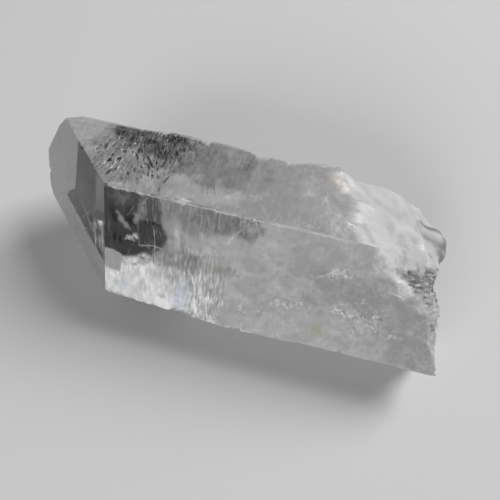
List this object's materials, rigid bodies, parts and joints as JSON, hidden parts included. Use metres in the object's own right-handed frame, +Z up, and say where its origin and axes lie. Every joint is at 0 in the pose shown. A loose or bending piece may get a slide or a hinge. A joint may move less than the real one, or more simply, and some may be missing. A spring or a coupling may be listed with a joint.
{
  "type": "trigonic quartz crystal",
  "caption": "Natural clear to milky quartz point: a six-sided prism with a slanting chisel tip, etched near the tip and broken at the root end, lying on one prism face.",
  "frame": {"origin": "on the surface that the crystal lies on, under the middle of its bounding box", "axes": "+X along the crystal from its tip towards its broken root end, +Y away from the front, +Z up, square to the resting face"},
  "size_m": [0.0804, 0.0362, 0.0293],
  "materials": {
    "quartz": "clear at the tip, milky in the body, chalky white where broken"
  },
  "bodies": {
    "root": {"quartz_crystal": "quartz"}
  },
  "joints": []
}
